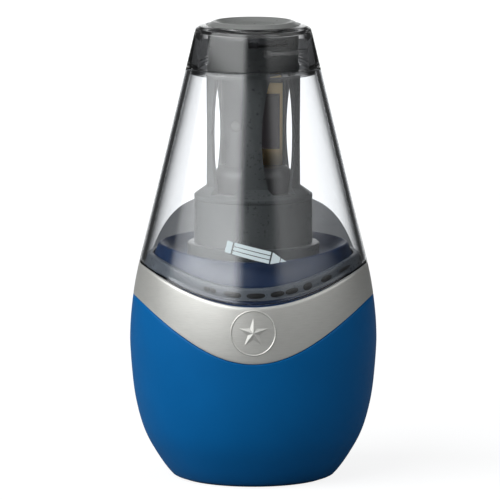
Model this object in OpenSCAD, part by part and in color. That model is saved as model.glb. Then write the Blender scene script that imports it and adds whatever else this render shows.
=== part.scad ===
// Battery pencil sharpener: top entry, twin-blade rotary cutter, lift-off
// shavings reservoir. Millimetres, +Z up, origin on the resting plane under
// the middle of the body, front towards -Y.

/* [Casing] */
// Height of the seam between reservoir and base, at the sides and back
seam_z = 84.6; // [84:0.1:85]
// Radius of the arc in which the seam dips to the front
seam_arc = 72.3; // [70:0.1:80]
// Height of the lower edge of the trim band, at the sides and back
band_z = 72.1; // [71:0.1:73]
// Radius of the arc in which the band's lower edge dips to the front
band_arc = 49.2; // [49:0.1:55]
// Distance in front of the axis at which both arcs begin
arc_start = 8; // [6:0.5:10]
// Thickness of the base wall
base_wall = 2.4; // [2.2:0.1:2.6]
// Thickness of the reservoir wall
res_wall = 2.0; // [1.6:0.1:2.1]
// Height of the joint between reservoir and cap
cap_z = 161.8; // [161.5:0.1:162]
// Diameter of the pencil hole
pencil_d = 8.2; // [7.6:0.1:8.6]

/* [Cutter cage] */
// Number of windows round the cage
windows = 5; // [3:1:5]
// Half height of the lens that each window is cut from
window_h = 36.6; // [24:0.2:48]
// Half width of a window
window_w = 8.0; // [6:0.1:8.4]

/* [Cutter head] */
// Radius of the cutter head
head_r = 12.5; // [12:0.1:13]
// Rise of the pencil cone's radius per millimetre of height
cone_slope = 0.194; // [0.18:0.002:0.2]
// Thickness of a blade
blade_t = 0.8; // [0.6:0.1:1]

/* [Gears] */
// Module of the gears
gear_m = 0.5; // [0.5:0.5:0.5]
// Teeth on the motor pinion and on the small idler wheel
teeth_small = 12; // [12:1:12]
// Teeth on the large idler wheel
teeth_idler = 30; // [30:1:30]
// Teeth on the output wheel
teeth_out = 36; // [36:1:36]
// Thinning of each tooth for backlash
backlash = 0.13; // [0.1:0.01:0.18]

/* [Battery] */
// Diameter of a cell
cell_d = 14.2; // [14:0.1:14.4]
// Length of a cell with its nub
cell_l = 50.5; // [50:0.1:50.5]
// Turn of the battery door from locked to open, in degrees
door_turn = 45; // [45:1:45]

/* [Hidden] */
$fn = 96;
e = 0.05;

// Outline of the casing: height and radius. Above the last station it is a
// plain cone up to the cap.
prof = [[0.6, 31.2], [3, 33.5], [6, 35.8], [10, 38.3], [15, 41.3],
  [20, 43.4], [26, 45.1], [32, 46.4], [38, 47.2], [46, 47.9], [54, 48.4],
  [62, 48.1], [70, 47.3], [78, 46.1], [84, 44.8], [90, 43.3]];
function P(z) = z < 90 ? lookup(z, prof) : 26.1 + 0.2395 * (161.8 - z);
function zs(a, b) = concat([a],
  [for (p = prof) if (p[0] > a + 0.1 && p[0] < b - 0.1) p[0]], [b]);
function outline(t, a, b) = [for (z = zs(a, b)) [P(z) - t, z]];
function rev(v) = [for (i = [len(v) - 1:-1:0]) v[i]];

// Wall between two depths under the casing's outline
module skin(t0, t1, a, b)
  rotate_extrude($fn = 128) polygon(concat(outline(t0, a, b), rev(outline(t1, a, b))));

// Everything under a seam that is level at the back and dips to the front
// in an arc, and everything over it
module under(z, r) translate([-90, 0, 0]) rotate([90, 0, 90]) linear_extrude(height = 180) {
  translate([-arc_start, z - r]) circle(r = r, $fn = 360);
  translate([-arc_start, z - 180]) square([110, 180]);
}
module over(z, r) difference() {
  translate([-80, -80, -20]) cube([160, 160, 220]);
  under(z, r);
}

module ring(r0, r1, a, b) rotate_extrude() translate([r0, a]) square([r1 - r0, b - a]);
module arc(r0, r1, a, b, from, turn) rotate([0, 0, from])
  rotate_extrude(angle = turn) translate([r0, a]) square([r1 - r0, b - a]);
module rod(r, a, b) translate([0, 0, a]) cylinder(r = r, h = b - a);
module at(az, r) rotate([0, 0, az]) translate([r, 0, 0]) children();

// Pan-head screw standing on z = 0, its shank along +Z when l > 0
module screw(r, l, hr, hh) difference() {
  union() { translate([0, 0, -hh]) cylinder(r = hr, h = hh); cylinder(r = r, h = l); }
  translate([-hr, -0.2, -hh - 0.1]) cube([2 * hr, 0.4, 0.5]);
  translate([-0.2, -hr, -hh - 0.1]) cube([0.4, 2 * hr, 0.5]);
}

// Involute spur gear outline, a tooth centred on +X
function inv_a(a) = tan(a) * 180 / PI - a;
function half_a(r, n, m, pa, bl) = let (rp = n * m / 2, rb = rp * cos(pa))
  90 / n - bl / 2 / rp * 180 / PI + inv_a(pa) - inv_a(acos(min(1, rb / r)));
function gear_pts(n, m, bl, pa = 25) = let (rp = n * m / 2, rb = rp * cos(pa),
    ra = rp + 0.8 * m, rf = rp - 1.2 * m, rs = max(rb, rf),
    up = [rs, (rs + ra) / 2, ra])
  [for (i = [0:n - 1]) each concat(
    [let (a = 360 / n * i - half_a(rs, n, m, pa, bl)) [rf * cos(a), rf * sin(a)]],
    [for (r = up) let (a = 360 / n * i - half_a(r, n, m, pa, bl)) [r * cos(a), r * sin(a)]],
    [for (r = rev(up)) let (a = 360 / n * i + half_a(r, n, m, pa, bl)) [r * cos(a), r * sin(a)]],
    [let (a = 360 / n * i + half_a(rs, n, m, pa, bl)) [rf * cos(a), rf * sin(a)]])];
module gear(n, a, b) translate([0, 0, a]) linear_extrude(height = b - a)
  polygon(gear_pts(n, gear_m, backlash));

// Round wire swept along points
function unit(v) = v / norm(v);
module wire(pts, r, k = 8) {
  n = len(pts);
  rings = [for (i = [0:n - 1]) let (
      d = unit(pts[min(i + 1, n - 1)] - pts[max(i - 1, 0)]),
      h = abs(d[2]) > 0.9 ? [1, 0, 0] : [0, 0, 1],
      u = unit(cross(d, h)), v = cross(u, d))
    for (j = [0:k - 1]) pts[i] + r * (cos(360 * j / k) * u + sin(360 * j / k) * v)];
  polyhedron(rings, concat(
    [[for (j = [0:k - 1]) j]],
    [for (i = [0:n - 2]) for (j = [0:k - 1])
      [i * k + j, (i + 1) * k + j, (i + 1) * k + (j + 1) % k, i * k + (j + 1) % k]],
    [[for (j = [k - 1:-1:0]) (n - 1) * k + j]]));
}
function coil(r0, r1, a, b, turns, step = 20) = [for (t = [0:step:360 * turns])
  let (f = t / (360 * turns), r = r0 + (r1 - r0) * f) [r * cos(t), r * sin(t), a + (b - a) * f]];

// Places of the gear train: output wheel on the axis, motor behind it
motor_y = 13.9;
idler_p = [8.795, 8.164];
a_out = atan2(idler_p[1], idler_p[0]);
a_mot = atan2(motor_y - idler_p[1], -idler_p[0]);
post_az = [150, 215, 325];
plate_az = [20, 160, 215, 325];
lug_az = [90, 210, 330];
cell_p = 7.45;

// ---- Casing -----------------------------------------------------------

module snap(t0, t1, g) {
  for (a = [0, 180]) at(a, 0) translate([P(77.5) - t1, -4 - g, 76 - g])
    cube([t1 - t0, 8 + 2 * g, 3 + 2 * g]);
  for (a = [-60, -120]) at(a, 0) translate([P(73.7) - t1, -4 - g, 72.7 - g])
    cube([t1 - t0, 8 + 2 * g, 2 + 2 * g]);
}

module base_shell() color([0.05, 0.29, 0.52]) difference() {
  union() {
    intersection() {
      rotate_extrude($fn = 128) polygon(concat([[21.3, 0.6]], outline(0, 0.6, 97),
        rev(outline(base_wall, 3.2, 97)), [[21.3, 3.2]]));
      under(band_z, band_arc);
    }
    intersection() {
      skin(1.3, 3.0, 46, 92);
      under(seam_z, seam_arc);
      over(band_z - 3, band_arc);
    }
  }
  ring(26.45, 29.05, 0, 1.2);
  for (a = lug_az) arc(21, 23.4, 0, 4, a + door_turn - 10, 20);
  snap(1.25, 4, 0.15);
  for (a = [0:90:270]) at(a + 45, 25.6) rod(1.05, 1.3, 4);
}

module trim_band() color([0.78, 0.77, 0.75]) intersection() {
  skin(0, 1.2, 46, 92);
  under(seam_z, seam_arc);
  over(band_z + e, band_arc);
}

// Round plaque lying on the front of the band: field, rim and a plain star
badge_z = 63.4;
module badge_disc(r0, r1) translate([0, -40, badge_z]) rotate([90, 0, 0]) difference() {
  cylinder(r = r1, h = 12);
  if (r0 > 0) translate([0, 0, -1]) cylinder(r = r0, h = 14);
}
module band_badge() color([0.8, 0.79, 0.77]) {
  intersection() { badge_disc(0, 8.8); skin(-0.14, -0.02, 52, 76); }
  intersection() { badge_disc(7.9, 8.9); skin(-0.5, -0.02, 52, 76); }
  intersection() {
    translate([0, -40, badge_z]) rotate([90, 0, 0]) rotate([0, 0, 90]) linear_extrude(height = 12)
      polygon([for (i = [0:9]) let (r = i % 2 ? 2.5 : 5.9) [r * cos(36 * i), r * sin(36 * i)]]);
    skin(-0.42, -0.02, 52, 76);
  }
}

module deck() color([0.04, 0.16, 0.31]) {
  difference() {
    union() {
      // collar that the reservoir drops over
      intersection() {
        skin(res_wall + 0.35, 4.6, 70, 94);
        over(seam_z + 0.02, seam_arc);
        under(seam_z + 4.3, seam_arc);
      }
      // skirt inside the base
      intersection() {
        skin(3.1, 4.6, 72, 99);
        under(seam_z + 1, seam_arc);
      }
      intersection() { snap(1.6, 3.6, 0); skin(1.6, 4.5, 70, 80); }
      // dished floor, its rim dipping at the front, and the slope outside it
      difference() {
        rotate_extrude($fn = 128) polygon([[24.1, 85.2], [24.1, 87.7], [27, 87.7],
          [31, 88.8], [35.2, 92], [36.1, 92.6], [36.9, 92.4], [41.6, 80.6], [41.6, 77],
          [40, 77.6], [37, 85], [36.2, 85.2]]);
        over(92.9, 116);
      }
    }
    // slots between the tabs of the collar
    for (a = [-150:30:180]) intersection() {
      at(a, 0) translate([30, -1.2, 60]) cube([20, 2.4, 50]);
      over(seam_z + 1.6, seam_arc);
      under(seam_z + 6, seam_arc);
      skin(res_wall, 8, 70, 104);
    }
  }
}

module reservoir() color([0.33, 0.33, 0.38, 0.45]) intersection() {
  rotate_extrude($fn = 128) polygon(concat(outline(0, 70, cap_z - 0.3),
    rev(outline(res_wall, 70, cap_z - 0.3))));
  over(seam_z + e, seam_arc);
}

cap_in = 17.9;
module cap_shell() color([0.33, 0.33, 0.38, 0.5]) {
  rotate_extrude($fn = 128) polygon([
    [22.2, 158.8], [24.45, 158.8], [24.45, 159.5], [23.9, 160.2], [23.9, cap_z],
    [P(cap_z), cap_z], [P(168), 168], [P(174), 174], [22.6, 175.6], [21.9, 177],
    [20.7, 178.1], [19.4, 178.7], [18.35, 178.8], [18.35, 177.2], [17.2, 177.2],
    [17.2, 176], [19, 175.9], [20, 175.2], [20.8, 174], [21.9, 168], [22.2, cap_z]]);
  // bayonet tab inside the front
  intersection() {
    translate([-1.55, -24, 170.7]) cube([3.1, 7.1, 1.9]);
    ring(16.9, 22.5, 170, 173);
  }
  // turn arrow on the front right
  intersection() {
    union() {
      arc(20, 24.55, 168.1, 169.7, -84, 42);
      rotate([0, 0, -84]) translate([20, -3.2, 167.2]) cube([4.6, 3.4, 3.4]);
    }
    rotate_extrude() polygon([[20.9, 166], [P(166) + 0.35, 166], [P(172) + 0.35, 172], [20.9, 172]]);
  }
}

module cap_dish() color([0.42, 0.43, 0.45]) rotate_extrude($fn = 128) polygon([
  [pencil_d / 2, 175.0], [pencil_d / 2, 176.4], [5.4, 176.9], [10, 177.2], [14, 177.8],
  [16.3, 178.7], [17.0, 179.2], [17.6, 179.3], [18.25, 179], [18.25, 177.3],
  [17.1, 177.3], [17.1, 176.2], [14, 176], [9, 175.2], [6, 175.0]]);

// ---- Cutter cage ------------------------------------------------------

// Half width of a window at a height z from its middle
function lens(z) = window_w * (1 - pow(z / window_h, 2));
module cage_window(az) rotate([0, 0, az]) translate([12, 0, 135]) rotate([0, 90, 0])
  linear_extrude(height = 10) polygon(concat(
    [for (z = [-22.4:3.2:22.4]) [z, lens(z)]], [for (z = [22.4:-3.2:-22.4]) [z, -lens(z)]]));

module cutter_cage() color([0.38, 0.39, 0.40]) difference() {
  rotate([0, 0, -18]) rotate_extrude($fn = 128) polygon([[18.6, 87.7], [25.8, 87.7], [25.8, 92],
    [25.4, 92.4], [23.1, 92.4], [23.1, 109.4], [22.7, 109.7], [23.1, 110], [23.1, 111.4],
    [18.3, 115], [18.3, 161], [17.7, 162], [17.7, 174.2],
    [16.5, 174.2], [16.5, 112.4], [21, 108.4], [21, 90.4], [18.6, 90.4]]);
  for (i = [0:windows - 1]) cage_window(-90 + 180 / windows + 360 / windows * i);
  // bayonet slot for the cap: open notch at the front, then a run to one side
  translate([-1.95, -19, 170.5]) cube([3.9, 4, 5]);
  arc(16, 19, 170.2, 172.9, -94, 53);
  for (a = plate_az) at(a, 22.4) rod(1.02, 87, 91.9);
}

// Pencil guide closing the top of the cage
module pencil_guide() color([0.30, 0.31, 0.33]) rotate_extrude() polygon([
  [pencil_d / 2, 162.6], [pencil_d / 2, 171.8], [5.4, 173.9], [16.45, 173.9],
  [16.45, 171.2], [9.2, 171.2], [9.2, 158.8], [7.0, 158.8], [7.0, 162.6]]);

// ---- Cutter head, turning about Z ------------------------------------

tip_z = 124;
function cone_r(z) = 0.6 + cone_slope * (z - tip_z);
tilt = atan(cone_slope);
bore_z = tip_z + (pencil_d / 2 - 0.6) / cone_slope;

// Space in front of the blade plane on one side of the head
module blade_side(t) translate([0, -0.6, tip_z]) rotate([tilt, 0, 0])
  translate([-1.6, -30 - t, -3.2]) cube([40, 30, 60]);

module cutter_head() color([0.27, 0.28, 0.30]) difference() {
  union() {
    rotate_extrude() polygon([[0, 106.2], [14.6, 106.2], [15.3, 107], [15.3, 118.6],
      [14.7, 120.6], [13.2, 122.2], [head_r, 122.6], [head_r, 157.4], [11.9, 158],
      [6.9, 158], [6.9, 162.3], [0, 162.3]]);
  }
  // pencil bore, cone and pin bore
  rotate_extrude() polygon([[0, 122], [1.3, 122], [1.3, 124.5], [cone_r(128), 128],
    [pencil_d / 2, bore_z], [pencil_d / 2, 163], [0, 163]]);
  rod(1.3, 105, 123);
  rod(2.52, 105, 112);
  for (s = [0, 180]) rotate([0, 0, s]) {
    intersection() { blade_side(0); rod(20, 122.6, 157.9); }
    // relief on the outside below the column
    translate([-16, -14, 123.4]) cube([5.4, 14, 9.4]);
    // screw hole through to the clamp
    translate([6.6, 0, 139]) rotate([-90, 0, 0]) {
      translate([0, 0, -6]) cylinder(r = 1.05, h = 30);
      translate([0, 0, 7.4]) cylinder(r = 2.2, h = 10);
    }
  }
}

// Blades lie on the two flats; the edge stands on the pencil cone
module blades() color([0.83, 0.68, 0.36]) for (s = [0, 180]) rotate([0, 0, s])
  translate([0, -0.6, tip_z]) rotate([tilt, 0, 0]) difference() {
    translate([0, 0, -1.2]) linear_extrude(height = 33.6)
      polygon([[-0.3, -0.02], [11.3, -0.02], [11.3, -0.02 - blade_t], [0.9, -0.02 - blade_t], [-0.3, -0.12]]);
    translate([6.6, 1, 15.35]) rotate([90, 0, 0]) cylinder(r = 1.25, h = 4);
  }

module blade_clamps() color([0.20, 0.20, 0.22]) for (s = [0, 180]) rotate([0, 0, s]) difference() {
  intersection() {
    translate([0, -0.6, tip_z]) rotate([tilt, 0, 0])
      translate([2.2, -16, 7.6]) cube([8.0, 16 - blade_t - 0.04, 20.4]);
    rod(13.6, 120, 160);
    translate([-20, -9.6, 120]) cube([40, 40, 40]);
  }
  translate([6.6, 0, 139]) rotate([90, 0, 0]) cylinder(r = 1.02, h = 8.6);
}

module clamp_screws() color([0.80, 0.80, 0.79]) for (s = [0, 180]) rotate([0, 0, s])
  translate([6.6, 7.4, 139]) rotate([90, 0, 0]) screw(1.0, 15.6, 1.9, 1.5);

module drive_shaft() color([0.72, 0.72, 0.73]) difference() {
  rod(2.5, 85.3, 112);
  rod(1.3, 85, 113);
}

module output_gear() color([0.93, 0.92, 0.87]) difference() {
  union() {
    rotate([0, 0, a_out]) gear(teeth_out, 96, 101);
    rod(4.4, 95.2, 101.8);
  }
  rod(2.52, 94, 103);
  for (i = [0:5]) at(60 * i, 6.1) rod(1.15, 95, 102);
}

// ---- Gearbox and motor ------------------------------------------------

module lower_bush() color([0.78, 0.60, 0.30]) difference() {
  union() { rod(4, 85.2, 90.4); rod(5.2, 87.72, 89.0); }
  rod(2.56, 85, 91);
}
module upper_bush() color([0.78, 0.60, 0.30]) difference() {
  union() { rod(4, 102.4, 105.6); rod(5.2, 104.42, 105.6); }
  rod(2.56, 102, 106);
}

module gear_plate() color([0.34, 0.35, 0.36]) difference() {
  union() {
    rod(23.9, 85.2, 87.7);
    difference() {
      rod(28, 83.4, 85.2);
      rod(20.4, 83, 85.2);
      translate([0, motor_y, 83]) cylinder(r = 12.4, h = 4);
    }
    for (a = post_az) at(a, 16.2) rod(2.1, 87.6, 102.4);
  }
  rod(4.02, 85, 88);
  translate([0, motor_y, 85]) cylinder(r = 3.05, h = 4);
  for (x = [-8, 8]) translate([x, motor_y, 85]) cylinder(r = 1.05, h = 4);
  translate(idler_p) rod(1.02, 85, 88);
  for (a = plate_az) at(a, 22.4) rod(1.02, 83, 88);
  for (a = post_az) at(a, 16.2) rod(1.02, 96, 103);
  // fixing of the switch bracket
  for (x = [-5.5, 5.5]) translate([x, -11.5, 84]) cylinder(r = 1.02, h = 3);
}

module upper_plate() color([0.34, 0.35, 0.36]) difference() {
  rod(20.8, 102.4, 104.4);
  rod(4.02, 102, 105);
  translate(idler_p) rod(1.02, 102, 105);
  for (a = post_az) at(a, 16.2) rod(1.05, 102, 105);
}

module idler_gear() color([0.93, 0.92, 0.87]) translate(idler_p) difference() {
  union() {
    rotate([0, 0, a_mot]) gear(teeth_idler, 91, 95);
    rotate([0, 0, a_out + 180 + 180 / teeth_small]) gear(teeth_small, 94.9, 101.3);
    rod(2.1, 90.2, 102.0);
  }
  rod(1.05, 90, 103);
}
module idler_axle() color([0.75, 0.75, 0.76]) translate(idler_p) rod(1.0, 85.4, 104.2);

module motor_pinion() color([0.80, 0.66, 0.34]) translate([0, motor_y, 0]) difference() {
  rotate([0, 0, a_mot + 180 + 180 / teeth_small]) gear(teeth_small, 90.6, 95.2);
  rod(1.02, 90, 96);
}
module motor_shaft() color([0.75, 0.75, 0.76]) translate([0, motor_y, 0]) rod(1.0, 60.4, 95.2);
module armature() color([0.62, 0.36, 0.20]) translate([0, motor_y, 0]) difference() {
  union() {
    for (i = [0:2]) rotate([0, 0, 120 * i]) {
      translate([0, -1.5, 66]) cube([8.2, 3, 14]);
      arc(7, 8.6, 66, 80, -46, 92);
      translate([3.2, -3, 65]) cube([2.6, 6, 16]);
    }
    rod(3.4, 64.5, 81.5);
  }
  rod(1.02, 60, 90);
}
module motor_can() color([0.76, 0.76, 0.77]) translate([0, motor_y, 0]) difference() {
  union() { rod(11.9, 62.2, 85.15); rod(3, 85, 87.4); }
  rod(11.2, 62, 84.2);
  rod(1.05, 84, 88);
  for (x = [-8, 8]) translate([x, 0, 84]) cylinder(r = 1.02, h = 2);
}
module motor_magnets() color([0.25, 0.25, 0.26]) translate([0, motor_y, 0])
  for (a = [-60, 120]) arc(9.2, 11.15, 66, 81, a, 120);
module motor_endcap() color([0.92, 0.90, 0.84]) translate([0, motor_y, 0]) difference() {
  union() { rod(11.9, 59.9, 62.15); rod(11.1, 62.1, 63.4); }
  rod(1.05, 60.2, 64);
}
module motor_screws() color([0.72, 0.72, 0.73]) for (x = [-8, 8])
  translate([x, motor_y, 87.72]) mirror([0, 0, 1]) screw(1.0, 4.0, 1.9, 1.3);
module plate_screws() color([0.72, 0.72, 0.73]) for (a = plate_az)
  at(a, 22.4) translate([0, 0, 83.38]) screw(1.0, 8.3, 1.9, 1.3);
module gearbox_screws() color([0.72, 0.72, 0.73]) for (a = post_az)
  at(a, 16.2) translate([0, 0, 104.42]) mirror([0, 0, 1]) screw(1.0, 7, 1.9, 1.3);

// ---- Start switch under the cutter ------------------------------------

module start_pin() color([0.86, 0.86, 0.84]) {
  rod(1.2, 77.6, 122.4);
  rod(1.75, 83.9, 84.9);
}
module start_spring() color([0.78, 0.78, 0.79]) wire(coil(1.52, 1.52, 79.25, 83.65, 6, 30), 0.17, 6);
module start_switch() color([0.10, 0.10, 0.11]) difference() {
  union() {
    translate([-5, -8.5, 73]) cube([10, 10, 6]);
    for (x = [-3, 3]) translate([x - 0.4, -5.6, 70.4]) cube([0.8, 0.3, 3]);
  }
  rod(1.3, 75.6, 80);
}
module switch_bracket() color([0.34, 0.35, 0.36]) difference() {
  union() {
    translate([-8, -14, 83.6]) cube([16, 4.4, 1.58]);
    translate([-8, -10.6, 72.4]) cube([16, 2.05, 12]);
    translate([-6, -10, 71.6]) cube([12, 9, 1.38]);
  }
  for (x = [-3, 3]) translate([x - 0.6, -6, 70]) cube([1.2, 1.1, 4]);
  for (x = [-5.5, 5.5]) translate([x, -11.9, 83]) cylinder(r = 0.8, h = 4);
}

// ---- Battery bay ------------------------------------------------------

module tray_outline(c = 5, w = 15.9) polygon([[w, c - w], [w, w - c], [w - c, w],
  [c - w, w], [-w, w - c], [-w, c - w], [c - w, -w], [w - c, -w]]);

module battery_tray() color([0.14, 0.15, 0.17]) difference() {
  union() {
    translate([0, 0, 6]) linear_extrude(height = 51.3) tray_outline();
    rod(19.4, 4.75, 6.3);
    for (a = [0:90:270]) at(a + 45, 0) {
      translate([15, -5, 4.7]) cube([12.6, 10, 2]);
      translate([24, -5, 3.22]) cube([3.6, 10, 2]);
    }
  }
  for (x = [-cell_p, cell_p], y = [-cell_p, cell_p])
    translate([x, y, 5.6]) cylinder(r = cell_d / 2 + 0.15, h = 60);
  rod(17.9, 4, 5.62);
  for (b = [[6, 24], [24, 6]]) translate([-b[0] / 2, -b[1] / 2, 5.5]) cube([b[0], b[1], 60]);
  for (a = [0:90:270]) at(a + 45, 25.6) rod(1.05, 3, 8);
}

module tray_lid() color([0.14, 0.15, 0.17]) difference() {
  translate([0, 0, 57.6]) linear_extrude(height = 1.8) tray_outline();
  for (x = [-1, 1]) translate([x * 13.4, -0.6, 57]) cube([1, 1.2, 4], center = false);
}

module tray_screws() color([0.72, 0.72, 0.73]) for (a = [0:90:270])
  at(a + 45, 25.6) translate([0, 0, 6.72]) mirror([0, 0, 1]) screw(1.0, 5.3, 1.9, 1.3);

module cell(up) translate([0, 0, 6.85]) translate([0, 0, up ? 0 : cell_l])
  mirror([0, 0, up ? 0 : 1]) {
    cylinder(r = cell_d / 2, h = cell_l - 1.2);
    cylinder(r = 2.7, h = cell_l);
  }
module battery_cells() color([0.75, 0.47, 0.20]) {
  translate([cell_p, cell_p, 0]) cell(true);
  translate([-cell_p, cell_p, 0]) cell(false);
  translate([-cell_p, -cell_p, 0]) cell(true);
  translate([cell_p, -cell_p, 0]) cell(false);
}

module contact_strips() color([0.82, 0.82, 0.80]) {
  // over the cells, under the lid
  for (y = [-cell_p, cell_p]) translate([-cell_p - 3, y - 2.5, 57.37])
    cube([2 * cell_p + 6, 5, 0.2]);
  // on the board under the cells
  for (x = [-cell_p, cell_p]) translate([x - 3.5, -cell_p - 3.5, 5.43])
    cube([7, 2 * cell_p + 7, 0.15]);
}
module contact_springs() color([0.82, 0.82, 0.80])
  for (p = [[cell_p, cell_p], [-cell_p, -cell_p]]) translate([p[0], p[1], 0])
    wire(coil(3.2, 2.0, 5.84, 6.64, 2, 30), 0.17, 6);
module contact_board() color([0.40, 0.30, 0.16]) rod(17.6, 4.65, 5.42);

module battery_door() color([0.05, 0.24, 0.45]) difference() {
  union() {
    rod(21.0, 0.9, 3.0);
    ring(18.6, 20.6, 2.9, 4.4);
    for (a = lug_az) arc(19, 23.0, 3.35, 4.4, a - 8, 16);
  }
  translate([-10, -1.1, 0]) cube([20, 2.2, 1.9]);
}

module foot_ring() color([0.10, 0.10, 0.11]) rotate_extrude() polygon([
  [26.5, 1.15], [26.5, 0.4], [26.9, 0], [28.6, 0], [29, 0.4], [29, 1.15]]);

// Leads from the tray and the switch up to the motor: a smooth curve
// through the route's points
function mid(a, b, c, d, t) = 0.5 * (2 * b + (c - a) * t + (2 * a - 5 * b + 4 * c - d) * t * t
  + (3 * b - a - 3 * c + d) * t * t * t);
function smooth(p, k) = let (n = len(p)) concat(
  [for (i = [0:n - 2]) for (j = [0:k - 1]) mid(p[max(i - 1, 0)], p[i], p[i + 1], p[min(i + 2, n - 1)], j / k)],
  [p[n - 1]]);
module lead(pts) wire(smooth(pts, 3), 0.6, 8);
module lead_red() color([0.75, 0.10, 0.08]) lead([
  [16.6, 1, 56.6], [17.8, 3, 57], [19.6, 6, 57.6], [19.6, 10, 58.2],
  [17, 12.8, 59], [14.6, 13.9, 60.2], [12.8, 13.9, 61.4]]);
module lead_black() color([0.06, 0.06, 0.07]) lead([
  [-12.8, 13.9, 61.4], [-15, 13, 60.8], [-18, 9, 61.6], [-18, 2, 64.5],
  [-13.5, -4, 68], [-8.4, -6.4, 69.6], [-3.4, -6.6, 70.1]]);

base_shell();
trim_band();
band_badge();
deck();
reservoir();
cap_shell();
cap_dish();
cutter_cage();
pencil_guide();
cutter_head();
blades();
blade_clamps();
clamp_screws();
drive_shaft();
output_gear();
upper_bush();
lower_bush();
upper_plate();
gear_plate();
idler_gear();
idler_axle();
motor_pinion();
motor_shaft();
armature();
motor_can();
motor_magnets();
motor_endcap();
motor_screws();
plate_screws();
gearbox_screws();
start_pin();
start_spring();
start_switch();
switch_bracket();
battery_tray();
tray_lid();
tray_screws();
battery_cells();
contact_strips();
contact_springs();
contact_board();
battery_door();
foot_ring();
lead_red();
lead_black();
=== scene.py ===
"""Looks of the battery pencil sharpener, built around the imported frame."""

import math
import random

import bmesh
import bpy
import numpy as np
from mathutils import Matrix, Vector


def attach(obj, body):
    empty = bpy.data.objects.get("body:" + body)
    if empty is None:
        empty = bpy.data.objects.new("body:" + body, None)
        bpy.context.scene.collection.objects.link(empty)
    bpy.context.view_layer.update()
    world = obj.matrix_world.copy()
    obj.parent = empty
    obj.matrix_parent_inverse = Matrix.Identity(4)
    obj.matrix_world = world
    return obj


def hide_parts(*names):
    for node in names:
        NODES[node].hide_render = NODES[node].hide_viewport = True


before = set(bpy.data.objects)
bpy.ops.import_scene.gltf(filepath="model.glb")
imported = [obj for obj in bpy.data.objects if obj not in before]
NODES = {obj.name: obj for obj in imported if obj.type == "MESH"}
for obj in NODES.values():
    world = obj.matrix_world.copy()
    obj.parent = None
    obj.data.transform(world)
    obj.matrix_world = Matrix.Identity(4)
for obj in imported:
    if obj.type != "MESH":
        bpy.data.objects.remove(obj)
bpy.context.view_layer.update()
RND = random.Random(7)
MM = 0.001

# ---------------------------------------------------------------- camera
ELEV, DIST, LENS = 8.2, 2.8, 515.0
AIM = Vector((-0.0013, 0.0, 0.0890))
cam_data = bpy.data.cameras.new("camera")
cam = bpy.data.objects.new("camera", cam_data)
bpy.context.scene.collection.objects.link(cam)
cam_data.lens = LENS
cam_data.sensor_width = 36.0
e = math.radians(ELEV)
back = Vector((0, -math.cos(e), math.sin(e)))
cam.location = AIM + back * DIST
cam.rotation_mode = "QUATERNION"
cam.rotation_quaternion = (-back).to_track_quat("-Z", "Y")
cam_data.clip_start, cam_data.clip_end = 0.05, 60.0
bpy.context.scene.camera = cam

# ------------------------------------------------------------- materials


def rgb(r, g, b):
    """sRGB 0-255 to linear"""
    out = []
    for v in (r, g, b):
        v /= 255.0
        out.append(v / 12.92 if v <= 0.04045 else ((v + 0.055) / 1.055) ** 2.4)
    return (*out, 1.0)


class Mat:
    """A Principled material with helpers for procedural detail."""

    def __init__(self, name, color, rough, metal=0.0, **sockets):
        self.m = bpy.data.materials.new(name)
        self.m.use_nodes = True
        self.nt = self.m.node_tree
        self.p = self.nt.nodes["Principled BSDF"]
        self.p.inputs["Base Color"].default_value = color
        self.p.inputs["Roughness"].default_value = rough
        self.p.inputs["Metallic"].default_value = metal
        for k, v in sockets.items():
            self.p.inputs[k.replace("_", " ")].default_value = v
        self.coord = self.nt.nodes.new("ShaderNodeTexCoord")
        self.last = None

    def node(self, kind, **props):
        n = self.nt.nodes.new(kind)
        for k, v in props.items():
            setattr(n, k, v)
        return n

    def link(self, a, b):
        self.nt.links.new(a, b)

    def noise(self, scale, detail=3.0, rough=0.55, stretch=(1, 1, 1)):
        mp = self.node("ShaderNodeMapping")
        mp.inputs["Scale"].default_value = stretch
        self.link(self.coord.outputs["Object"], mp.inputs["Vector"])
        n = self.node("ShaderNodeTexNoise")
        n.inputs["Scale"].default_value = scale
        n.inputs["Detail"].default_value = detail
        n.inputs["Roughness"].default_value = rough
        self.link(mp.outputs["Vector"], n.inputs["Vector"])
        return n.outputs["Fac"]

    def ramp(self, fac, a, b):
        r = self.node("ShaderNodeMapRange")
        r.inputs["From Min"].default_value = 0.3
        r.inputs["From Max"].default_value = 0.7
        r.inputs["To Min"].default_value = a
        r.inputs["To Max"].default_value = b
        self.link(fac, r.inputs["Value"])
        return r.outputs["Result"]

    def rough(self, fac, a, b):
        self.link(self.ramp(fac, a, b), self.p.inputs["Roughness"])
        return self

    def tint(self, fac, a, b):
        """Colour varies between two shades"""
        mx = self.node("ShaderNodeMix", data_type="RGBA")
        mx.inputs["A"].default_value = a
        mx.inputs["B"].default_value = b
        self.link(self.ramp(fac, 0.0, 1.0), mx.inputs["Factor"])
        self.link(mx.outputs["Result"], self.p.inputs["Base Color"])
        return self

    def bump(self, fac, strength, dist):
        b = self.node("ShaderNodeBump")
        b.inputs["Strength"].default_value = strength
        b.inputs["Distance"].default_value = dist
        self.link(fac, b.inputs["Height"])
        if self.last is not None:
            self.link(self.last, b.inputs["Normal"])
        self.link(b.outputs["Normal"], self.p.inputs["Normal"])
        self.last = b.outputs["Normal"]
        return self


def shade(c, k):
    return (c[0] * k, c[1] * k, c[2] * k, 1.0)


def plastic(name, c, rough=0.42, grain=900, bump=0.06, spread=0.06, var=0.05, **kw):
    m = Mat(name, c, rough, **kw)
    big = m.noise(60, 2)
    fine = m.noise(grain, 3)
    m.tint(big, shade(c, 1 - var), shade(c, 1 + var))
    m.rough(fine, rough - spread / 2, rough + spread / 2)
    m.bump(fine, bump, 0.00006)
    return m.m


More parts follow.
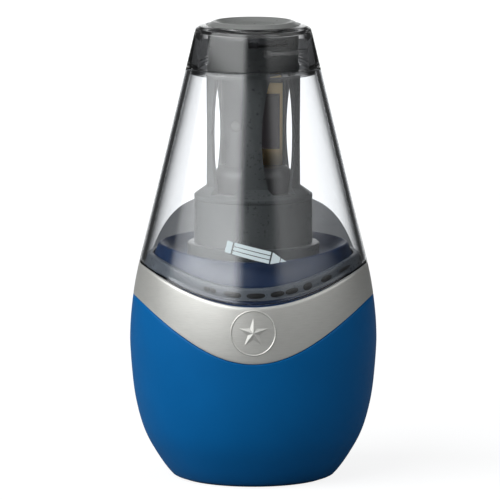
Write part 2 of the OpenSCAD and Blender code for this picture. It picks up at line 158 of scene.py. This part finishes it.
BLUE = rgb(4, 92, 154)
M = {}
M["blue"] = plastic("blue_plastic", BLUE, 0.42, 420, 0.05, 0.05, 0.03, Specular_IOR_Level=0.10)
# deck and skirt: the body's blue plastic with painted shade, much darker where it sits inside the reservoir under
# the cage
M["deck_blue_painted_shade"] = plastic("deck_blue_painted_shade", rgb(6, 34, 66), 0.36, 600, 0.05, 0.05, 0.05)
M["blue_door"] = plastic("blue_door", rgb(6, 76, 146), 0.45, 700, 0.10, 0.06, 0.05)


def silver():
    c = rgb(206, 205, 201)
    m = Mat("silver_trim", c, 0.44, 0.62)
    brush = m.noise(260, 4, 0.6, (1, 1, 16))
    fine = m.noise(3000, 2)
    m.tint(brush, shade(c, 0.93), shade(c, 1.05))
    m.rough(brush, 0.38, 0.50)
    m.bump(fine, 0.10, 0.00003)
    m.bump(brush, 0.10, 0.00003)
    return m.m


M["silver"] = silver()


def smoke(name, c, density, rough, thin):
    """Tinted clear plastic: its depth darkens it, and lamps reach what is
    inside it"""
    m = Mat(name, (1, 1, 1, 1), rough, Transmission_Weight=1.0, IOR=1.49)
    m.rough(m.noise(220, 4, 0.6), rough, rough + 0.008)
    m.bump(m.noise(26, 2), 0.02, 0.0002)
    out = m.nt.nodes["Material Output"]
    va = m.node("ShaderNodeVolumeAbsorption")
    va.inputs["Color"].default_value = c
    va.inputs["Density"].default_value = density
    m.link(va.outputs["Volume"], out.inputs["Volume"])
    lp = m.node("ShaderNodeLightPath")
    tr = m.node("ShaderNodeBsdfTransparent")
    tr.inputs["Color"].default_value = thin
    mx = m.node("ShaderNodeMixShader")
    m.link(lp.outputs["Is Shadow Ray"], mx.inputs["Fac"])
    m.link(m.p.outputs["BSDF"], mx.inputs[1])
    m.link(tr.outputs["BSDF"], mx.inputs[2])
    m.link(mx.outputs["Shader"], out.inputs["Surface"])
    return m.m


M["smoke"] = smoke("smoke_clear", rgb(92, 112, 150), 44.0, 0.004, (0.91, 0.91, 0.93, 1))
M["smoke_cap"] = smoke("smoke_cap", rgb(84, 83, 92), 150.0, 0.006, (0.84, 0.84, 0.86, 1))
M["cage"] = plastic("cage_grey", rgb(60, 63, 63), 0.30, 800, 0.06, 0.08, 0.05)
M["guide"] = plastic("guide_grey", rgb(88, 90, 92), 0.42, 800, 0.06, 0.08, 0.05)
M["dish"] = plastic("dish_grey", rgb(122, 123, 122), 0.30, 700, 0.05, 0.06, 0.05)
M["collar"] = plastic("collar_grey", rgb(84, 90, 96), 0.30, 800, 0.06, 0.08, 0.06)
M["collar_pad"] = plastic("collar_pad", rgb(8, 9, 10), 0.40, 900, 0.05, 0.05, 0.05)
M["head"] = plastic("head_grey", rgb(44, 44, 46), 0.34, 900, 0.08, 0.08, 0.06)
M["dark"] = plastic("clamp_dark", rgb(58, 52, 54), 0.40, 900, 0.10, 0.08, 0.08)
M["black"] = plastic("black_plastic", rgb(38, 39, 42), 0.48, 1100, 0.12, 0.08, 0.08)
M["nylon"] = plastic("gear_nylon", rgb(232, 228, 214), 0.45, 900, 0.05, 0.08, 0.03, Subsurface_Weight=0.08)
M["rubber"] = plastic("foot_rubber", rgb(34, 34, 36), 0.78, 1600, 0.35, 0.08, 0.12)
M["ferrite"] = plastic("ferrite", rgb(64, 64, 66), 0.62, 1800, 0.30, 0.08, 0.12)
M["board"] = plastic("board_laminate", rgb(150, 112, 62), 0.55, 500, 0.15, 0.08, 0.14)
M["red"] = plastic("lead_red", rgb(196, 40, 32), 0.42, 900, 0.05, 0.06, 0.05)
M["wire_black"] = plastic("lead_black", rgb(28, 28, 30), 0.42, 900, 0.05, 0.06, 0.05)
M["print"] = plastic("print_white", rgb(206, 218, 222), 0.50, 2600, 0.08, 0.08, 0.04)


def metal(name, c, rough, grain=700, stretch=(1, 1, 1), bump=0.10, var=0.07, spread=0.12):
    m = Mat(name, c, rough, 1.0)
    g = m.noise(grain, 4, 0.6, stretch)
    m.tint(g, shade(c, 1 - var), shade(c, 1 + var))
    m.rough(g, max(0.05, rough - spread / 2), rough + spread / 2)
    m.bump(g, bump, 0.00003)
    return m.m


M["gold"] = metal("blade_gold", rgb(238, 208, 150), 0.34, 900, (1, 1, 14))
M["steel"] = metal("bright_steel", rgb(205, 205, 202), 0.20, 900, (1, 1, 6))
M["zinc"] = metal("zinc_steel", rgb(178, 179, 180), 0.34, 500)
M["brass"] = metal("brass", rgb(200, 160, 92), 0.32, 800)


def winding():
    c = rgb(176, 104, 52)
    m = Mat("copper_winding", c, 0.30, 1.0)
    w = m.node("ShaderNodeTexWave", wave_type="BANDS", bands_direction="Z")
    w.inputs["Scale"].default_value = 900
    w.inputs["Distortion"].default_value = 1.5
    m.link(m.coord.outputs["Object"], w.inputs["Vector"])
    m.tint(w.outputs["Fac"], shade(c, 0.6), shade(c, 1.1))
    m.bump(w.outputs["Fac"], 0.5, 0.0001)
    return m.m


M["winding"] = winding()


def jacket():
    m = Mat("cell_jacket", rgb(190, 110, 40), 0.25, 0.4, Coat_Weight=0.3, Coat_Roughness=0.1)
    g = m.node("ShaderNodeSeparateXYZ")
    m.link(m.coord.outputs["Object"], g.inputs["Vector"])
    r = m.node("ShaderNodeValToRGB")
    r.color_ramp.interpolation = "CONSTANT"
    r.color_ramp.elements[0].color = rgb(34, 34, 38)
    r.color_ramp.elements[0].position = 0.0
    r.color_ramp.elements[1].color = rgb(196, 128, 62)
    r.color_ramp.elements[1].position = 0.62
    mr = m.node("ShaderNodeMapRange")
    mr.inputs["From Min"].default_value = 0.0068
    mr.inputs["From Max"].default_value = 0.0573
    m.link(g.outputs["Z"], mr.inputs["Value"])
    m.link(mr.outputs["Result"], r.inputs["Fac"])
    m.link(r.outputs["Color"], m.p.inputs["Base Color"])
    m.rough(m.noise(500, 3), 0.18, 0.32)
    return m.m


M["cell"] = jacket()

# --------------------------------------------------------------- outline
PROF = [
    (0.6, 31.2), (3, 33.5), (6, 35.8), (10, 38.3), (15, 41.3), (20, 43.4), (26, 45.1),
    (32, 46.4), (38, 47.2), (46, 47.9), (54, 48.4), (62, 48.1), (70, 47.3), (78, 46.1),
    (84, 44.8), (90, 43.3),
]
_z = np.arange(-6.0, 180.0, 0.25)
_r = np.interp(_z, [p[0] for p in PROF], [p[1] for p in PROF])
_r = np.where(_z > 90, 26.1 + 0.2395 * (161.8 - _z), _r)
_r = np.where(_z < 0.6, 31.2 - 0.96 * (0.6 - _z), _r)
_k = np.exp(-0.5 * (np.arange(-32, 33) * 0.25 / 2.2) ** 2)
_k /= _k.sum()
_rs = np.convolve(np.pad(_r, 32, mode="edge"), _k, mode="valid")
_w = np.clip((_z - 1.0) / 6.0, 0, 1)
_rs = _r * (1 - _w) + _rs * _w
_rs = np.where(_z > 110, _r, _rs)


def P(z):
    return float(np.interp(z, _z, _rs))


ARC0 = 8.0


def seam(y, z0=84.6, rho=72.3):
    if y >= -ARC0:
        return z0
    return z0 - rho + math.sqrt(max(0.0, rho * rho - (y + ARC0) ** 2))


def band_low(y):
    return seam(y, 72.1, 49.2)


def solve(fn, th, t, dz=0.0):
    z = 80.0
    for _ in range(14):
        z = fn((P(z) - t) * math.sin(th)) + dz
    return z


# ---------------------------------------------------------------- meshes


def obj_from(name, verts, faces, mat, body, smooth=True, angle=40.0):
    me = bpy.data.meshes.new(name)
    me.from_pydata([tuple(c * MM for c in v) for v in verts], [], faces)
    me.validate(clean_customdata=False)
    bm = bmesh.new()
    bm.from_mesh(me)
    bmesh.ops.remove_doubles(bm, verts=bm.verts, dist=1e-7)
    bmesh.ops.recalc_face_normals(bm, faces=bm.faces)
    bm.to_mesh(me)
    bm.free()
    o = bpy.data.objects.new(name, me)
    bpy.context.scene.collection.objects.link(o)
    me.materials.append(mat)
    if smooth:
        smooth_by_angle(o, angle)
    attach(o, body)
    return o


def smooth_by_angle(o, angle=40.0):
    me = o.data
    me.polygons.foreach_set("use_smooth", [True] * len(me.polygons))
    bm = bmesh.new()
    bm.from_mesh(me)
    lim = math.radians(angle)
    for ed in bm.edges:
        ed.smooth = len(ed.link_faces) == 2 and ed.calc_face_angle(0.0) < lim
    bm.to_mesh(me)
    bm.free()
    me.update()


def rounded(pts, radii, k=4):
    """Closed outline in (r, z) with its corners rounded"""
    out = []
    n = len(pts)
    for i in range(n):
        p = Vector(pts[i])
        rad = radii[i] if isinstance(radii, (list, tuple)) else radii
        a, b = Vector(pts[i - 1]), Vector(pts[(i + 1) % n])
        u, v = (a - p), (b - p)
        if rad <= 0 or u.length < 1e-6 or v.length < 1e-6:
            out.append(tuple(p))
            continue
        ang = u.angle(v)
        if ang > math.radians(172):
            out.append(tuple(p))
            continue
        d = min(rad / math.tan(ang / 2), u.length * 0.45, v.length * 0.45)
        q0, q1 = p + u.normalized() * d, p + v.normalized() * d
        for j in range(k + 1):
            t = j / k
            out.append(tuple(q0 * (1 - t) ** 2 + p * 2 * t * (1 - t) + q1 * t * t))
    return out


def lathe(name, loop, mat, body, n=192, angle=35.0, warp=None):
    verts, faces = [], []
    m = len(loop)
    for i in range(n):
        th = 2 * math.pi * i / n
        for r, z in loop:
            v = (r * math.cos(th), r * math.sin(th), z)
            verts.append(warp(v) if warp else v)
    for i in range(n):
        for j in range(m):
            a, b = i * m + j, i * m + (j + 1) % m
            c, d = ((i + 1) % n) * m + (j + 1) % m, ((i + 1) % n) * m + j
            faces.append((a, b, c, d))
    return obj_from(name, verts, faces, mat, body, angle=angle)


def section_loft(name, section, mat, body, n=256, angle=35.0):
    """Closed ring whose (r, z) section depends on the azimuth"""
    verts, faces = [], []
    m = None
    for i in range(n):
        th = 2 * math.pi * i / n
        s = section(th)
        m = len(s)
        verts += [(r * math.cos(th), r * math.sin(th), z) for r, z in s]
    for i in range(n):
        for j in range(m):
            a, b = i * m + j, i * m + (j + 1) % m
            c, d = ((i + 1) % n) * m + (j + 1) % m, ((i + 1) % n) * m + j
            faces.append((a, b, c, d))
    return obj_from(name, verts, faces, mat, body, angle=angle)


def wall(zl, zh, t0, t1, nz, e0=0.3, e1=0.3, k=4):
    """Section of a wall under the outline from zl to zh, between depths t0
    and t1, its edges rounded by e0 below and e1 above"""
    s = []
    for j in range(nz + 1):
        z = zl + e0 + (zh - zl - e0 - e1) * j / nz
        s.append((P(z) - t0, z))
    for j in range(1, k + 1):
        a = math.pi / 2 * j / k
        s.append((P(zh) - t0 - e1 * (1 - math.cos(a)), zh - e1 * (1 - math.sin(a))))
    for j in range(0, k):
        a = math.pi / 2 * j / k
        s.append((P(zh) - t1 + e1 * (1 - math.sin(a)), zh - e1 * (1 - math.cos(a))))
    for j in range(nz, -1, -1):
        z = zl + e0 + (zh - zl - e0 - e1) * j / nz
        s.append((P(z) - t1, z))
    for j in range(1, k + 1):
        a = math.pi / 2 * j / k
        s.append((P(zl) - t1 + e0 * (1 - math.cos(a)), zl + e0 * (1 - math.sin(a))))
    for j in range(0, k):
        a = math.pi / 2 * j / k
        s.append((P(zl) - t0 - e0 * (1 - math.sin(a)), zl + e0 * (1 - math.cos(a))))
    return s


# base shell: floor, wall, and the inset wall that carries the trim band
def base_section(th):
    zb = solve(band_low, th, 0, -0.12)
    zs = solve(seam, th, 2, -0.03)
    s = [(21.3, 3.0), (21.3, 0.9), (21.6, 0.6), (26.4, 0.6), (26.45, 1.15), (29.05, 1.15), (29.1, 0.6), (30.4, 0.62), (31.0, 0.8)]
    nz = 56
    for j in range(nz + 1):
        z = 1.2 + (zb - 0.5 - 1.2) * j / nz
        s.append((P(z), z))
    for j in range(1, 6):
        a = math.pi / 2 * j / 5
        s.append((P(zb) - 0.5 * (1 - math.cos(a)), zb - 0.5 * (1 - math.sin(a))))
    s.append((P(zb) - 1.3, zb))
    s.append((P(zb + 0.4) - 1.32, zb + 0.4))
    zs -= 1.6
    for j in range(1, 9):
        z = zb + 0.4 + (zs - zb - 0.4) * j / 8
        s.append((P(z) - 1.32, z))
    s.append((P(zs) - 3.0, zs))
    for j in range(20, -1, -1):
        z = 3.6 + (zs - 3.6) * j / 20
        s.append((P(z) - (3.0 if z > zb - 3 else 2.6), z))
    s += [(30.6, 3.2), (21.6, 3.2)]
    return s


base = section_loft("base_casing", base_section, M["blue"], "base", 288)
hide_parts("base_shell")


# trim band, its edges turned in
def band_section(th):
    zl, zh = solve(band_low, th, 0, 0.06), solve(seam, th, 0, -0.04)
    return wall(zl, zh, 0.0, 1.2, 20, 0.35, 0.45, 5)


band = section_loft("silver_band", band_section, M["silver"], "base", 288)
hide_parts("trim_band")


# plaque: a raised rim line and a plain faceted star on the band
def on_band(u, v, lift, zc=63.4):
    """Point on the band's front: u to the right, v up, lift off the surface"""
    z = zc + v
    r = P(z) + lift
    a = u / P(z)
    return (r * math.sin(a), -r * math.cos(a), z)


def plaque():
    verts, faces = [], []
    n, R = 96, 8.62
    prof = [(-0.42, -0.08), (-0.30, 0.10), (-0.16, 0.24), (0.0, 0.30), (0.16, 0.24), (0.30, 0.10), (0.42, -0.08)]
    m = len(prof)
    for i in range(n):
        a = 2 * math.pi * i / n
        for dr, h in prof:
            verts.append(on_band((R + dr) * math.cos(a), (R + dr) * math.sin(a), h))
    for i in range(n):
        for j in range(m - 1):
            faces.append((i * m + j, i * m + j + 1, ((i + 1) % n) * m + j + 1, ((i + 1) % n) * m + j))
        faces.append((i * m + m - 1, i * m, ((i + 1) % n) * m, ((i + 1) % n) * m + m - 1))
    # five-point star, each point a ridge
    base_i = len(verts)
    steps = 5
    cen = len(verts)
    verts.append(on_band(0, 0, 0.62))
    out = []
    for i in range(10):
        a = math.radians(90 + 36 * i)
        r = 5.9 if i % 2 == 0 else 2.35
        ids = []
        for s in range(1, steps + 1):
            f = s / steps
            h = 0.62 * (1 - f) + (0.10 if i % 2 == 0 else 0.02) * f
            ids.append(len(verts))
            verts.append(on_band(r * f * math.cos(a), r * f * math.sin(a), h))
        ids.append(len(verts))
        verts.append(on_band(r * 1.01 * math.cos(a), r * 1.01 * math.sin(a), -0.1))
        out.append(ids)
    bot = len(verts)
    verts.append(on_band(0, 0, -0.1))
    for i in range(10):
        p, q = out[i], out[(i + 1) % 10]
        faces.append((cen, p[0], q[0]))
        for s in range(steps):
            faces.append((p[s], p[s + 1], q[s + 1], q[s]))
        faces.append((bot, q[-1], p[-1]))
    return obj_from("front_plaque", verts, faces, M["silver"], "base", angle=18)


badge = plaque()
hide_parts("band_badge")

# deck: dished floor whose rim dips at the front, slope, and inner skirt
DECK = rounded(
    [(24.1, 85.2), (24.1, 87.7), (27.2, 87.7), (31, 88.8), (34.9, 91.7), (36.2, 92.6), (37.0, 92.2),
     (39.2, 86.8), (41.2, 80.8), (41.4, 77.2), (40.2, 77.4), (37, 85), (36.0, 85.2)],
    [0, 0.2, 1.5, 2.5, 1.5, 0.5, 0.5, 3, 0.5, 0, 0, 0, 0], 5)


def dip(v):
    x, y, z = v
    if y < -ARC0:
        top = 92.6 - 116 + math.sqrt(116 ** 2 - (y + ARC0) ** 2)
        if z > 87.9:
            z = 87.9 + (z - 87.9) * (top - 87.9) / (92.6 - 87.9)
    return (x, y, z)


# deck floor in the body blue with painted shade
deck = lathe("deck_floor", DECK, M["deck_blue_painted_shade"], "base", 224, warp=dip)
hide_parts("deck")


def collar_section(th):
    zs, zt = solve(seam, th, 3, 0.03), solve(seam, th, 3, 4.3)
    return wall(zs, zt, 2.4, 4.5, 6, 0.15, 0.45, 4)


collar = section_loft("deck_collar", collar_section, M["collar"], "base", 256)


def skirt_section(th):
    zt = solve(seam, th, 3, 0.02)
    return wall(72.1, zt, 3.12, 4.55, 6, 0.1, 0.05, 2)


skirt = section_loft("deck_skirt", skirt_section, M["deck_blue_painted_shade"], "base", 192)


# oval pads round the collar
def oval_pads():
    verts, faces = [], []

    def pad(a0, a1, h):
        """azimuths from the front in degrees, height of the oval in mm"""
        n = 28
        mid, half = math.radians((a0 + a1) / 2), math.radians((a1 - a0) / 2)
        base_i = len(verts)
        ring = []
        for layer, (t, k) in enumerate(((2.5, 1.0), (2.22, 1.0), (2.14, 0.86))):
            for i in range(n):
                q = 2 * math.pi * i / n
                cx, cy = math.cos(q), math.sin(q)
                sx = abs(cx) ** 0.6 * (1 if cx >= 0 else -1)
                a = mid + half * k * sx
                th = -math.pi / 2 + a
                zc = solve(seam, th, 2.4, 2.2)
                z = zc + h / 2 * k * cy
                r = P(z) - t
                verts.append((r * math.cos(th), r * math.sin(th), z))
        for layer in range(2):
            for i in range(n):
                a, b = base_i + layer * n + i, base_i + layer * n + (i + 1) % n
                faces.append((a, b, b + n, a + n))
        faces.append(tuple(base_i + 2 * n + i for i in range(n)))
        faces.append(tuple(base_i + n - 1 - i for i in range(n)))

    for a0, a1, h in PADS:
        pad(a0, a1, h)
    return obj_from("collar_pads", verts, faces, M["collar_pad"], "base", angle=50)


def az(x):
    return math.degrees(math.asin(max(-1, min(1, (x - 253.6) * 0.391 / 43.2))))


PADS = [(az(205.5), az(211.2), 1.9), (az(211.8), az(217.5), 1.9), (az(225), az(242), 2.1), (az(247), az(265), 2.0),
        (az(270), az(283.5), 2.0), (az(284.5), az(297), 2.0), (az(302), az(310.5), 2.6), (az(320), az(330.5), 2.0),
        (az(338), az(350), 1.1)]
PADS += [(a, a + 11, 2.0) for a in range(76, 270, 24)]
pads = oval_pads()


# reservoir
def reservoir_section(th):
    zl = solve(seam, th, 1, 0.10)
    s = wall(zl, 161.48, 0.0, 2.0, 60, 0.3, 0.25, 4)
    return s


reservoir = section_loft("smoke_reservoir", reservoir_section, M["smoke"], "reservoir", 320)
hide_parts("reservoir")

# cap
CAP = rounded(
    [(22.2, 158.8), (24.4, 158.8), (24.4, 159.5), (23.9, 160.3), (23.9, 161.85), (P(161.85), 161.85),
     (P(174.6), 174.6), (P(176) - 0.25, 176.5), (20.9, 177.5), (19.0, 177.85), (18.35, 177.8), (18.35, 177.25),
     (17.2, 177.25), (17.2, 176.0), (19.2, 175.95), (20.6, 174.8), (21.2, 172), (22.2, 161.9)],
    [0.2, 0.2, 0.2, 0.2, 0.05, 0.12, 2.0, 1.4, 1.0, 0.3, 0.15, 0.05, 0.1, 0.2, 0.8, 1.0, 2.0, 1.0], 6)
cap = lathe("smoke_twist_cap", CAP, M["smoke_cap"], "cap", 256)
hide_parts("cap_shell")

# dish: convex flank, rim, bowl and pencil hole
DISH = rounded(
    [(4.12, 175.05), (4.12, 176.2), (5.0, 176.75), (8.5, 176.95), (12.0, 177.7), (14.1, 178.75), (14.9, 179.25),
     (15.7, 179.15), (17.3, 178.3), (18.15, 177.75), (18.2, 177.32), (17.1, 177.3), (17.1, 176.3), (14, 175.9), (9, 175.1)],
    [0.2, 0.5, 0.8, 2.5, 2.5, 1.0, 0.35, 0.6, 0.9, 0.25, 0.1, 0.05, 0.1, 0.6, 0.6], 6)
dish = lathe("cap_dish_insert", DISH, M["dish"], "cap", 224)
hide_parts("cap_dish")


# bayonet tab inside the cap, and the turn arrow standing on its outside
def bar_on_ring(name, a0, a1, zfun, r0fun, r1fun, mat, body, n=24, edge=0.25):
    """Curved bar: azimuths in degrees, zfun(f) gives (low, high)"""
    verts, faces = [], []
    for i in range(n + 1):
        f = i / n
        a = math.radians(a0 + (a1 - a0) * f)
        zl, zh = zfun(f)
        sec = rounded([(r0fun(zl), zl), (r1fun(zl), zl), (r1fun(zh), zh), (r0fun(zh), zh)], [0, edge, edge, 0], 4)
        for r, z in sec:
            verts.append((r * math.cos(a), r * math.sin(a), z))
        m = len(sec)
    for i in range(n):
        for j in range(m):
            a, b = i * m + j, i * m + (j + 1) % m
            faces.append((a, b, b + m, a + m))
    faces.append(tuple(range(m)))
    faces.append(tuple(n * m + m - 1 - i for i in range(m)))
    return obj_from(name, verts, faces, mat, body, angle=45)


tab = bar_on_ring("cap_bayonet_tab", -94.9, -85.1, lambda f: (170.7, 172.6), lambda z: 16.95, lambda z: 21.4, M["smoke_cap"], "cap", 8, 0.1)


def arrow_z(f):
    # blob and barb at the free end, then a plain bar
    h = 0.85
    if f < 0.16:
        h = 0.85 + 0.75 * math.sin(math.pi * min(1, f / 0.16)) ** 0.6
    return (168.9 - h, 168.9 + h)


arrow = bar_on_ring("cap_turn_arrow", -81, -31, arrow_z, lambda z: P(z) - 0.6, lambda z: P(z) + 0.30, M["smoke_cap"], "cap", 48, 0.2)


# printed pencil sign on the front of the reservoir
def on_res(u, v, lift, zc=93.4, uc=1.0):
    z = zc + v
    r = P(z) + lift
    a = (u + uc) / P(z)
    return (r * math.sin(a), -r * math.cos(a), z)


def printed():
    verts, faces = [], []

    def quad_strip(top, bot):
        i0 = len(verts)
        n = len(top)
        for lift in (0.02, 0.05):
            for p in top:
                verts.append(on_res(p[0], p[1], lift))
            for p in bot:
                verts.append(on_res(p[0], p[1], lift))
        k = 2 * n
        for i in range(n - 1):
            a, b, c, d = i0 + i, i0 + i + 1, i0 + n + i + 1, i0 + n + i
            faces.append((a, b, c, d))
            faces.append((a + k, d + k, c + k, b + k))
            faces.append((a, a + k, b + k, b))
            faces.append((d, c, c + k, d + k))
        faces.append((i0, i0 + n, i0 + n + k, i0 + k))
        faces.append((i0 + n - 1, i0 + n - 1 + k, i0 + 2 * n - 1 + k, i0 + 2 * n - 1))

    def rot(p, a=math.radians(-14)):
        return (p[0] * math.cos(a) - p[1] * math.sin(a), p[0] * math.sin(a) + p[1] * math.cos(a))

    def bar(x0, x1, y0, y1, n=8, taper=None):
        t, b = [], []
        for i in range(n + 1):
            f = i / n
            x = x0 + (x1 - x0) * f
            yy0, yy1 = (y0, y1) if taper is None else (y0 + (taper[0] - y0) * f, y1 + (taper[1] - y1) * f)
            t.append(rot((x, yy1)))
            b.append(rot((x, yy0)))
        quad_strip(t, b)

    # pencil lying with its point to the lower right
    bar(-12.0, -9.6, -2.3, 2.3)
    bar(-9.0, 5.6, -2.3, -0.95)
    bar(-9.0, 5.6, -0.65, 0.65)
    bar(-9.0, 5.6, 0.95, 2.3)
    bar(6.2, 9.6, -2.3, 2.3, 8, (-0.95, 0.95))
    bar(9.9, 12.2, -0.8, 0.8, 6, (-0.06, 0.06))

    return obj_from("printed_sign", verts, faces, M["print"], "reservoir", angle=60)


sign = printed()

# foot ring
foot = lathe("rubber_foot", rounded([(26.5, 1.12), (26.5, 0.0), (29.0, 0.0), (29.0, 1.12)], [0, 0.35, 0.35, 0], 5), M["rubber"], "base", 192)
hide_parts("foot_ring")

# --------------------------------------------------- carried-over nodes


def finish_node(name, mat, bevel=0.0, angle=32.0, seg=2):
    o = NODES[name]
    o.data.materials.clear()
    o.data.materials.append(mat)
    o.data.polygons.foreach_set("material_index", [0] * len(o.data.polygons))
    o.data.polygons.foreach_set("use_smooth", [True] * len(o.data.polygons))
    w = o.modifiers.new("weld", "WELD")
    w.merge_threshold = 1e-6
    if bevel > 0:
        b = o.modifiers.new("bevel", "BEVEL")
        b.width = bevel * MM
        b.segments = seg
        b.limit_method = "ANGLE"
        b.angle_limit = math.radians(angle)
        b.harden_normals = False
    s = o.modifiers.new("split", "EDGE_SPLIT")
    s.split_angle = math.radians(angle)
    return o


LOOK = {
    "cutter_cage": ("cage", 0.22), "pencil_guide": ("guide", 0.15), "cutter_head": ("head", 0.18),
    "blades": ("gold", 0.05), "blade_clamps": ("dark", 0.25), "clamp_screws": ("steel", 0.08),
    "drive_shaft": ("zinc", 0.08), "output_gear": ("nylon", 0.0), "upper_bush": ("brass", 0.1),
    "lower_bush": ("brass", 0.1), "upper_plate": ("guide", 0.15), "gear_plate": ("guide", 0.15),
    "idler_gear": ("nylon", 0.0), "idler_axle": ("steel", 0.08), "motor_pinion": ("brass", 0.0),
    "motor_shaft": ("steel", 0.08), "armature": ("winding", 0.1), "motor_can": ("zinc", 0.25),
    "motor_magnets": ("ferrite", 0.1), "motor_endcap": ("nylon", 0.2), "motor_screws": ("steel", 0.08),
    "plate_screws": ("steel", 0.08), "gearbox_screws": ("steel", 0.08), "start_pin": ("nylon", 0.1),
    "start_spring": ("steel", 0.0), "start_switch": ("black", 0.12), "switch_bracket": ("guide", 0.15),
    "battery_tray": ("black", 0.2), "tray_lid": ("black", 0.2), "tray_screws": ("steel", 0.08),
    "battery_cells": ("cell", 0.25), "contact_strips": ("steel", 0.03), "contact_springs": ("steel", 0.0),
    "contact_board": ("board", 0.08), "battery_door": ("blue_door", 0.2), "lead_red": ("red", 0.0),
    "lead_black": ("wire_black", 0.0),
}
for name, (mat, bev) in LOOK.items():
    finish_node(name, M[mat], bev)

# ----------------------------------------------------------------- stage
W = bpy.data.worlds.new("studio")
bpy.context.scene.world = W
W.use_nodes = True
nt = W.node_tree
bg = nt.nodes["Background"]


def wmath(op, a, b=None, c=None):
    n = nt.nodes.new("ShaderNodeMath")
    n.operation = op
    for i, v in enumerate((a, b, c)):
        if v is None:
            continue
        if isinstance(v, (int, float)):
            n.inputs[i].default_value = v
        else:
            nt.links.new(v, n.inputs[i])
    return n.outputs[0]


def step(v, e0, e1):
    """0 below e0, 1 above e1, smooth between; e0 > e1 turns it round"""
    n = nt.nodes.new("ShaderNodeMapRange")
    n.interpolation_type = "SMOOTHSTEP"
    lo, hi, t0, t1 = (e0, e1, 0.0, 1.0) if e0 < e1 else (e1, e0, 1.0, 0.0)
    for k, x in (("From Min", lo), ("From Max", hi), ("To Min", t0), ("To Max", t1)):
        n.inputs[k].default_value = x
    nt.links.new(v, n.inputs["Value"])
    return n.outputs["Result"]


tc = nt.nodes.new("ShaderNodeTexCoord")
sep = nt.nodes.new("ShaderNodeSeparateXYZ")
nt.links.new(tc.outputs["Generated"], sep.inputs["Vector"])
X, Y, Z = sep.outputs["X"], sep.outputs["Y"], sep.outputs["Z"]
# degrees from the front, positive to the right, and degrees above the floor
AZ = wmath("MULTIPLY", wmath("ARCTAN2", X, wmath("MULTIPLY", Y, -1.0)), 57.29578)
EL = wmath("MULTIPLY", wmath("ARCSINE", wmath("MINIMUM", wmath("MAXIMUM", Z, -1.0), 1.0)), 57.29578)


def softbox(a0, a1, soft0, soft1, e0, e1, soft_e, power):
    m = wmath("MULTIPLY", step(AZ, a0 - soft0, a0 + soft0), step(AZ, a1 + soft1, a1 - soft1))
    v = wmath("MULTIPLY", step(EL, e0 - soft_e, e0 + soft_e), step(EL, e1 + soft_e, e1 - soft_e))
    return wmath("MULTIPLY", wmath("MULTIPLY", m, v), power)


BOXES = [
    (-95, -16, 4, 8, 12, 56, 5, 4.5),   # wide key on the left
    (27, 104, 8, 10, 14, 50, 5, 1.15),   # dim fill on the right
]
total = wmath("ADD", softbox(*BOXES[0]), softbox(*BOXES[1]))
# white behind, only a little wider than what the camera sees of it
rear_az = wmath("ARCTAN2", X, Y)
rear = wmath("MULTIPLY", wmath("MULTIPLY", step(rear_az, 0.36, 0.09), step(rear_az, -0.34, -0.05)), 1.38)
rear = wmath("MULTIPLY", rear, wmath("MULTIPLY", step(EL, -22, -14), step(EL, 24, 10)))
roof = wmath("MULTIPLY", step(EL, 56, 74), 0.55)
total = wmath("ADD", wmath("ADD", total, roof), wmath("ADD", rear, 0.045))
lp = nt.nodes.new("ShaderNodeLightPath")
sel = nt.nodes.new("ShaderNodeMix")
nt.links.new(lp.outputs["Is Camera Ray"], sel.inputs["Factor"])
nt.links.new(total, sel.inputs["A"])
sel.inputs["B"].default_value = 1.15
nt.links.new(sel.outputs["Result"], bg.inputs["Strength"])
bg.inputs["Color"].default_value = (0.985, 1.0, 1.0, 1)


def floor():
    """Pale card, its far edge a little way behind"""
    me = bpy.data.meshes.new("floor")
    x, y0, y1 = 2.6, -3.2, 0.83
    me.from_pydata([(-x, y0, 0), (x, y0, 0), (x, y1, 0), (-x, y1, 0)], [], [(0, 1, 2, 3)])
    o = bpy.data.objects.new("floor", me)
    bpy.context.scene.collection.objects.link(o)
    m = Mat("floor_card", (0.20, 0.20, 0.20, 1), 0.8, Specular_IOR_Level=0.0)
    m.tint(m.noise(9, 3), (0.19, 0.195, 0.20, 1), (0.21, 0.215, 0.22, 1))
    m.bump(m.noise(700, 3), 0.03, 0.0001)
    em = m.node("ShaderNodeEmission")
    em.inputs["Color"].default_value = (1, 1, 1, 1)
    em.inputs["Strength"].default_value = 0.86
    add = m.node("ShaderNodeAddShader")
    m.link(m.p.outputs["BSDF"], add.inputs[0])
    m.link(em.outputs["Emission"], add.inputs[1])
    mx = m.node("ShaderNodeMixShader")
    lpf = m.node("ShaderNodeLightPath")
    m.link(lpf.outputs["Is Camera Ray"], mx.inputs["Fac"])
    m.link(m.p.outputs["BSDF"], mx.inputs[1])
    m.link(add.outputs["Shader"], mx.inputs[2])
    m.link(mx.outputs["Shader"], m.nt.nodes["Material Output"].inputs["Surface"])
    me.materials.append(m.m)


floor()

sc = bpy.context.scene
sc.view_settings.view_transform = "Standard"
sc.view_settings.look = "None"
